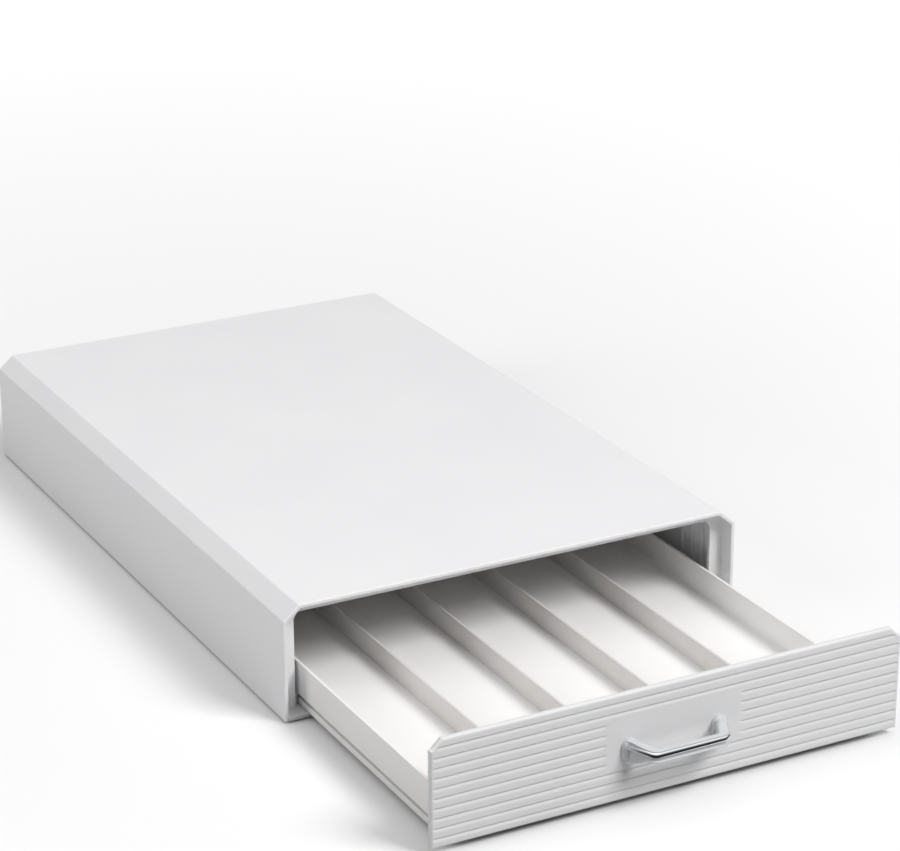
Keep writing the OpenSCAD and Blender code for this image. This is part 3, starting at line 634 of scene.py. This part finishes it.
runner_top, side_inner = tray_low.z + runner_high, tray_half - skin
section = [(runner_x0, floor_low, inner_fillet), (runner_x0, tray_low.z, edge_round),
           (runner_x1, tray_low.z, edge_round), (runner_x1, runner_top, edge_round),
           (runner_x0 + skin, runner_top, inner_fillet), (runner_x0 + skin, floor_low, inner_fillet),
           (side_inner, floor_low, step_fillet), (side_inner, side_low, step_fillet),
           (tray_half, side_low, inner_fillet), (tray_half, side_top, edge_round),
           (side_inner, side_top, edge_round), (side_inner, floor_top, corner_fillet)]
section += [(-x, z, radius) for x, z, radius in reversed(section)]
tray = drawn("pod_tray", rounded(section), tray_low.y + skin / 2, tray_high.y - skin / 2, (0, 0))
walls = [block("front_wall", (-tray_half, tray_low.y, side_low),
               (tray_half, divider_low.y, tray_high.z), edge_round),
         block("rear_wall", (-tray_half, divider_high.y, side_low),
               (tray_half, tray_high.y, side_top), edge_round)]
for middle in dividers_x:
    for side in (-1, 1):
        x = middle + side * (divider_thick / 2 + guide_gap + rib / 2)
        for y0, y1 in ((divider_low.y - rib_root, divider_low.y + lane_guide),
                       (divider_high.y - lane_guide, divider_high.y + rib_root)):
            walls.append(block("lane_guide", (x - rib / 2, y0, floor_top - rib_root),
                               (x + rib / 2, y1, divider_high.z), rib_soft))
merged(tray, "UNION", walls)
holes = []
before_wall = tray_low.y - clear_cut
for side in (-1, 1):
    for z in panel_screw_z:
        holes.append(rod("boss_hole", panel_boss + boss_gap, (side * panel_screw_x, before_wall, z),
                         4 * wall, (0, 1, 0)))
    holes.append(rod("pass", pass_round, (side * handle_screw_x, before_wall, handle_screw_z),
                     4 * wall, (0, 1, 0)))
    for along in peg_ends:
        outside = (side * (tray_half + clear_cut), stop_low.y + along, stop_middle_z)
        holes.append(rod("peg_hole", peg_round + peg_gap, outside, 2 * wall, (-side, 0, 0)))
merged(tray, "DIFFERENCE", holes)
finished(tray, moulded_plastic("moulded_polypropylene_white", ("f0efed", "f3f2f1"), polypropylene_ior,
                               roughness=0.4, grain=0.4 * mm, depth=0.01 * mm))
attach(tray, "drawer")
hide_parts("tray")

# ---------------------------------------------------------------- Lane dividers
# Four thin upright plates, cut to one length and slid down between guides at both ends of the
# tray. Their upper edge is fully rounded, so that pods slip in without catching.
top_round, foot_soft, cut_soft = 0.72 * mm, 0.2 * mm, 0.15 * mm
# The dividers' warm grey is painted shade: a greyer white than the tray's, for the shade that falls on them
# deep between the lanes.
divider_painted_shade = moulded_plastic("extruded_polypropylene_white_painted_shade", ("dbd8d5", "dfdcd9"), polypropylene_ior,
                                roughness=0.36, grain=0.4 * mm, depth=0.008 * mm)
for number, middle in enumerate(dividers_x, 1):
    left, right = middle - divider_thick / 2, middle + divider_thick / 2
    edge = rounded([(left, divider_low.z, foot_soft), (right, divider_low.z, foot_soft),
                    (right, divider_high.z, top_round), (left, divider_high.z, top_round)])
    divider = drawn(f"lane_divider_{number}", edge, divider_low.y, divider_high.y, (cut_soft, cut_soft))
    finished(divider, divider_painted_shade)
    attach(divider, "drawer")
    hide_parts(f"divider_{number}")

# ---------------------------------------------------------------- Front panel
# An ABS plate with eleven soft slats across its face. The slats run out into a smooth plain field
# behind the handle. Four short bosses on its back enter the tray's front wall, and four
# washer-head screws from inside the tray hold it.
panel_low, panel_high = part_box("front_panel")
panel_thick, panel_half = 3 * mm, panel_high.x
corner_cut = 5.6 * mm
corner_z = panel_high.z - corner_cut
front_edge, back_edge = 1.15 * mm, 0.6 * mm
grooves, lowest_groove, slat_pitch = 10, 4.9 * mm, 4.789 * mm
groove_deep, shoulder, overhang = 0.95 * mm, 2.0 * mm, 0.12 * mm
shoulder_curve, overhang_curve = 1.5, 1.0
groove_margin, groove_fade = 0.9 * mm, 1.6 * mm
field_half, field_fade = 34 * mm, 2.4 * mm
field_grooves = range(3, 8)
beside_groove_mm = [0.3, 0.12, 0.06, 0, -0.1, -0.25, -0.42, -0.6, -0.8, -1, -1.25, -1.5, -1.8, -2.1, -2.4]
column_pitch, field_columns, slat_columns, fade_columns = 5.5 * mm, 6, 13, 5
edge_shares = (1.8, 1.4, 1.1, 0.9, 0.7, 0.5, 0.34, 0.2, 0.1, 0)
front_steps, back_steps = 5, 4
pilot_deep = 1.6 * mm


def panel_half_at(z):
    """Half the panel's width at this height, less at its slanted top corners."""
    return panel_half - max(z - corner_z, 0)


def eased(share):
    """A soft step from 0 to 1."""
    share = max(0.0, min(1.0, share))
    return share * share * (3 - 2 * share)


def face_depth(x, z):
    """How far the face lies behind its foremost plane. Below a groove it rises over the rounded
    shoulder of the next slat, and above the groove over the short lower edge of a slat."""
    deepest = 0.0
    for number in range(grooves):
        below = groove_z[number] - z
        share = below / shoulder if below > 0 else -below / overhang
        if share >= 1:
            continue
        inset = (panel_half_at(z) - abs(x)) / (2 ** 0.5 if z > corner_z else 1)
        kept = eased((inset - groove_margin) / groove_fade)
        if number in field_grooves:
            kept *= eased((abs(x) - field_half) / field_fade)
        deepest = kept * groove_deep * (1 - share) ** (shoulder_curve if below > 0 else overhang_curve)
    return deepest


groove_z = [panel_low.z + lowest_groove + k * slat_pitch for k in range(grooves)]
lowest_row, highest_row = panel_low.z + front_edge, panel_high.z - front_edge
rows = {lowest_row, highest_row, corner_z}
for z in groove_z:
    rows.update(z + step * mm for step in beside_groove_mm)
    rows.add(z + (slat_pitch + overhang - shoulder) / 2)
rows = sorted(z for z in rows if lowest_row <= z <= highest_row)
middle_columns = [column_pitch * k for k in range(1, field_columns + 1)]
middle_columns += [field_half + field_fade * k / fade_columns for k in range(fade_columns + 1)]
middle_columns += [field_half + field_fade + column_pitch * k for k in range(1, slat_columns + 1)]
edge_columns = [front_edge + groove_fade * share for share in edge_shares]


def panel_row(z):
    """The places across the face at this height, from left to right."""
    half = panel_half_at(z) - (2 ** 0.5 - 1) * front_edge * (z > corner_z)
    right = middle_columns + [half - inset for inset in edge_columns]
    return [-x for x in reversed(right)] + [0.0] + right


shape = bmesh.new()
grid = [[shape.verts.new((x, panel_low.y + face_depth(x, z), z)) for x in panel_row(z)] for z in rows]
for lower, upper in zip(grid, grid[1:]):
    for i in range(len(lower) - 1):
        shape.faces.new((lower[i], lower[i + 1], upper[i + 1], upper[i]))
border = grid[0] + [row[-1] for row in grid[1:-1]] + grid[-1][::-1] + [row[0] for row in grid[-2:0:-1]]
outline = [Vector((v.co.x, v.co.z)) for v in border]
levels = []
for t in (pi / 2 * k / front_steps for k in range(1, front_steps + 1)):
    levels.append((front_edge * sin(t), front_edge * (1 - cos(t))))
for t in (pi / 2 * k / back_steps for k in range(back_steps + 1)):
    levels.append((front_edge - back_edge * (1 - cos(t)), panel_thick - back_edge * (1 - sin(t))))
for out, back in levels:
    ring = [shape.verts.new((p.x, panel_low.y + back, p.y)) for p in moved_in(outline, -out)]
    for i in range(len(ring)):
        shape.faces.new((border[i - 1], border[i], ring[i], ring[i - 1]))
    border = ring
shape.faces.new(border)
bmesh.ops.recalc_face_normals(shape, faces=shape.faces)
panel = object_from("slatted_front", shape)
panel_back = panel_low.y + panel_thick
bosses, holes = [], []
for side in (-1, 1):
    for z in panel_screw_z:
        root = (side * panel_screw_x, panel_back - rib_root, z)
        bosses.append(rod("boss", panel_boss, root, panel_high.y - panel_back + rib_root, (0, 1, 0)))
        bottom = (side * panel_screw_x, panel_back - pilot_deep, z)
        holes.append(rod("pilot", pilot_round, bottom, 4 * wall, (0, 1, 0)))
for side in (-1, 1):
    before_panel = (side * handle_screw_x, panel_low.y - clear_cut, handle_screw_z)
    holes.append(rod("pass", pass_round, before_panel, 4 * wall, (0, 1, 0)))
merged(panel, "UNION", bosses)
merged(panel, "DIFFERENCE", holes)
finished(panel, moulded_plastic("moulded_abs_front_white", ("dededf", "e2e2e3"), abs_ior,
                                roughness=0.4, grain=0.5 * mm, depth=0.01 * mm))
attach(panel, "drawer")
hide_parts("front_panel")

washer_round, washer_thick, washer_head, panel_bite = 4.7 * mm, 1.0 * mm, 1.9 * mm, 3.0 * mm
washer_under, washer_over, head_foot, head_soft = 0.15 * mm, 0.3 * mm, 0.1 * mm, 0.6 * mm
washer_profile = rounded([(0, -panel_bite, 0), (thread_round, -panel_bite, tip_soft), (thread_round, 0, 0),
                          (washer_round, 0, washer_under), (washer_round, washer_thick, washer_over),
                          (head_round, washer_thick, head_foot), (head_round, washer_head, head_soft),
                          (0, washer_head, 0)])
washer_set = []
for side in (-1, 1):
    for z in panel_screw_z:
        place = Vector((side * panel_screw_x, divider_low.y, z))
        screw = spun("screw", washer_profile, place, (0, 1, 0))
        slot = cross_slot(place + Vector((0, washer_head, 0)), (0, 1, 0))
        washer_set.append(merged(screw, "DIFFERENCE", slot))
washer_screws = finished(one_piece("panel_washer_screws", washer_set), zinc)
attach(washer_screws, "drawer")
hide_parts("panel_screws")

# ---------------------------------------------------------------- Handle
# A silver-grey ABS bow on two domed pads. A bright chromed bar is let into its upper outer edge,
# and a fine bead runs along its lower outer edge. Bow and bar are bent at the same two corners.
# Two screws from inside the tray hold the bow.
pad_x, pad_z, pad_w, pad_h, pad_t = 23 * mm, 28 * mm, 8 * mm, 11.3 * mm, 3 * mm
pad_round, pad_soft, pad_steps = 3.98 * mm, 2.2 * mm, 8
reach, bow_thick = 15.2 * mm, 3.4 * mm
lean = radians(25)
leg_out, leg_in, leg_root = 24.6 * mm, 19.4 * mm, 1 * mm
root_low, root_high = 22.35 * mm, 33.05 * mm
bar_low, bar_high = 26.6 * mm, 32.0 * mm
chrome_round, chrome_sunk, chrome_z, chrome_bend = 1.5 * mm, 0.6 * mm, 30.1 * mm, 3.4 * mm
seat_gap = 0.05 * mm
inner_bend = 1.0 * mm
bow_edge, root_edge, bow_lip = 1.1 * mm, 2.2 * mm, 0.15 * mm
bead_out, bead_low, bead_high = 0.55 * mm, 0.35 * mm, 1.05 * mm
bead_soft = 0.25 * mm
bend_steps, leg_steps, bar_shares = 10, 9, (0.66, 0.33)
screw_bite, screw_tip_gap = 3.6 * mm, 0.2 * mm
groove_steps, chrome_sides = 14, 28


def silver_plastic():
    """ABS coloured silver-grey with fine aluminium flakes in it: the flakes give a soft metallic
    glint, and the satin mould surface spreads it. Real flakes are 0.05 mm, drawn as 0.3 mm."""
    silver = new_material("moulded_abs_silver_grey")
    place = add_node(silver, "TexCoord", {}).outputs["Object"]
    flake = add_node(silver, "TexNoise", {"Vector": place, "Scale": 1 / (0.3 * mm),
                                          "Detail": 2.0}).outputs["Fac"]
    gloss = {"Value": flake, "To Min": 0.3, "To Max": 0.4}
    own = {"Metallic": 0.2, "IOR": abs_ior}
    return surfaced(silver, ("cfd0d2", "d9dadc"), flake, gloss, flake, 0.004 * mm, own)


def bow_line(foot_x, bar_reach, radius):
    """A line round the bow from pad to pad. Each place on it has its point, (across, out), and
    the way that it faces there."""
    level = bar_reach - radius
    centre = Vector((foot_x + (sin(lean) * (pad_t - level) - radius) / cos(lean), level))
    full = pi / 2 - lean
    leg_end = centre + radius * Vector((sin(full), cos(full)))
    leg_way = Vector((sin(lean), -cos(lean)))
    leg_long = (leg_end.y - leg_root) / cos(lean)
    half = [(leg_end + leg_way * leg_long * (1 - k / leg_steps), full) for k in range(leg_steps)]
    for k in range(bend_steps + 1):
        angle = full * (1 - k / bend_steps)
        half.append((centre + radius * Vector((sin(angle), cos(angle))), angle))
    half += [(Vector((centre.x * share, bar_reach)), 0.0) for share in bar_shares]
    other_half = [(Vector((-p.x, p.y)), -angle) for p, angle in reversed(half)]
    line = half + [(Vector((0.0, bar_reach)), 0.0)] + other_half
    return [(p, Vector((sin(angle), cos(angle)))) for p, angle in line]


def bow_share(out):
    """How far the bow has gone over from its root to its bar at this distance from the panel."""
    return eased((out - pad_t) / (reach - bow_thick - pad_t))


def bow_height(out):
    """Lower and upper edge of the bow at this distance from the panel."""
    share = bow_share(out)
    return root_low + (bar_low - root_low) * share, root_high + (bar_high - root_high) * share


def outward(point, z):
    """A point of the handle, given as (across, out), in the frame."""
    return Vector((point.x, panel_low.y - point.y, z))


groove = chrome_round + seat_gap
lip = (groove ** 2 - chrome_sunk ** 2) ** 0.5
groove_start = pi - Vector((chrome_sunk, lip)).angle(Vector((-1, 0)))
groove_arc = [2 * (pi - groove_start) * k / groove_steps + groove_start for k in range(groove_steps + 1)]
outer_line = bow_line(leg_out, reach, chrome_bend + chrome_sunk)
inner_line = bow_line(leg_in, reach - bow_thick, inner_bend)
bow_rings = []
for (outer, facing), (inner, _) in zip(outer_line, inner_line):
    low, high = bow_height(outer.y)
    face = rounded([(-2 * bow_edge, low, 0), (bead_out, low, bead_soft / 2),
                    (bead_out, low + bead_low, bead_soft / 2), (0, low + bead_high, bead_soft),
                    (0, (low + bead_high + chrome_z - lip) / 2, 0)])[1:-1]
    face += [Vector((groove * cos(a) - chrome_sunk, chrome_z - groove * sin(a))) for a in groove_arc]
    face += rounded([(0, chrome_z + lip, 0), (0, high, bow_lip), (-2 * bow_edge, high, 0)])[1:-1]
    ring = [outward(outer + facing * p.x, p.y) for p in face]
    low, high = bow_height(inner.y)
    edge = root_edge + (bow_edge - root_edge) * bow_share(inner.y)
    back = rounded([(2 * edge, high, 0), (0, high, edge), (0, low, edge), (2 * edge, low, 0)])[1:-1]
    bow_rings.append(ring + [outward(inner + facing * p.x, p.y) for p in back])
bow = solid("handle_bow_moulding", bow_rings)
pad_low, pad_high = pad_z - pad_h / 2, pad_z + pad_h / 2
pads = []
for side in (-1, 1):
    left, right = side * pad_x - pad_w / 2, side * pad_x + pad_w / 2
    obround = rounded([(left, pad_low, pad_round), (right, pad_low, pad_round),
                       (right, pad_high, pad_round), (left, pad_high, pad_round)], pad_steps)
    pads.append(drawn("pad", obround, panel_low.y - pad_t, panel_low.y, (pad_soft, 0)))
merged(bow, "UNION", pads)
handle_bite = screw_bite + pad_t
pilots = []
for side in (-1, 1):
    behind_pad = (side * handle_screw_x, panel_low.y + clear_cut, handle_screw_z)
    pilots.append(rod("pilot", pilot_round, behind_pad, handle_bite + clear_cut, (0, -1, 0)))
merged(bow, "DIFFERENCE", pilots)
finished(bow, silver_plastic())
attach(bow, "drawer")
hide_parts("handle_bow")


def bright_chrome():
    """Chromed steel: polished along the bar before plating, so it mirrors its surroundings
    sharply, with very faint lines and a cool tone. Real lines are 0.05 mm wide, drawn as 0.5 mm."""
    chrome = new_material("polished_chrome_plate")
    place = add_node(chrome, "TexCoord", {}).outputs["Object"]
    stretched = add_node(chrome, "Mapping", {"Vector": place, "Scale": (0.02, 1.0, 1.0)}).outputs["Vector"]
    lines = add_node(chrome, "TexNoise", {"Vector": stretched, "Scale": 1 / (0.5 * mm),
                                          "Detail": 1.0}).outputs["Fac"]
    gloss = {"Value": lines, "To Min": 0.1, "To Max": 0.16}
    return surfaced(chrome, ("e3e5e8", "dadde1"), lines, gloss, lines, 0.0005 * mm, {"Metallic": 1.0})


chrome_line = [(p - facing * chrome_sunk, facing) for p, facing in outer_line if p.y > pad_t + chrome_bend]
chrome_turns = [2 * pi * k / chrome_sides for k in range(chrome_sides)]
chrome_rings = []
for point, facing in chrome_line:
    chrome_rings.append([outward(point + facing * chrome_round * cos(t), chrome_z + chrome_round * sin(t))
                         for t in chrome_turns])
for end, side in ((0, 1), (-1, -1)):
    foot = [p + Vector((side * tan(lean), 1, 0)) * (panel_low.y - pad_t - p.y) for p in chrome_rings[end]]
    chrome_rings.insert(0 if end == 0 else len(chrome_rings), foot)
chrome_bar = finished(solid("handle_chrome_bar", chrome_rings), bright_chrome())
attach(chrome_bar, "drawer")
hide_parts("handle_rod")

bow_reach = divider_low.y - panel_low.y + handle_bite - screw_tip_gap
bow_set = [pan_screw("screw", (side * handle_screw_x, divider_low.y, handle_screw_z), (0, 1, 0), bow_reach)
           for side in (-1, 1)]
bow_screws = finished(one_piece("handle_pan_screws", bow_set), zinc)
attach(bow_screws, "drawer")
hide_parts("handle_screws")

# ---------------------------------------------------------------- Stops
# Two natural acetal clips, pegged through the tray's walls near its rear. Each has a nose that
# catches behind the front frame, so that the tray can't be pulled right out.
stop_plate, stop_nose = 1.4 * mm, 4 * mm
stop_soft = 0.3 * mm


def natural_acetal():
    """Moulded natural acetal: milky, slightly translucent and waxy, with a soft broad gloss."""
    acetal = new_material("natural_acetal")
    place = add_node(acetal, "TexCoord", {}).outputs["Object"]
    cloud = add_node(acetal, "TexNoise", {"Vector": place, "Scale": 1 / (4 * mm),
                                          "Detail": 3.0}).outputs["Fac"]
    gloss = {"Value": cloud, "To Min": 0.3, "To Max": 0.4}
    own = {"IOR": 1.48, "Subsurface Weight": 0.2, "Subsurface Scale": 1 * mm}
    return surfaced(acetal, ("d6d5cf", "dddcd7"), cloud, gloss, cloud, 0.01 * mm, own)


acetal = natural_acetal()
for node, side in (("stop_left", -1), ("stop_right", 1)):
    x0, x1 = across(side, tray_half, tray_half + stop_plate)
    stop = block(node.replace("stop", "tray_stop"), (x0, stop_low.y, stop_low.z),
                 (x1, stop_high.y, stop_high.z), stop_soft)
    x0, x1 = across(side, tray_half + stop_plate / 2, stop_high.x)
    parts = [block("nose", (x0, stop_low.y, stop_low.z),
                   (x1, stop_low.y + stop_nose, stop_high.z), stop_soft)]
    for along in peg_ends:
        inside = (side * side_inner, stop_low.y + along, stop_middle_z)
        parts.append(rod("peg", peg_round, inside, skin + stop_plate / 2, (side, 0, 0)))
    finished(merged(stop, "UNION", parts), acetal)
    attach(stop, "drawer")
    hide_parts(node)
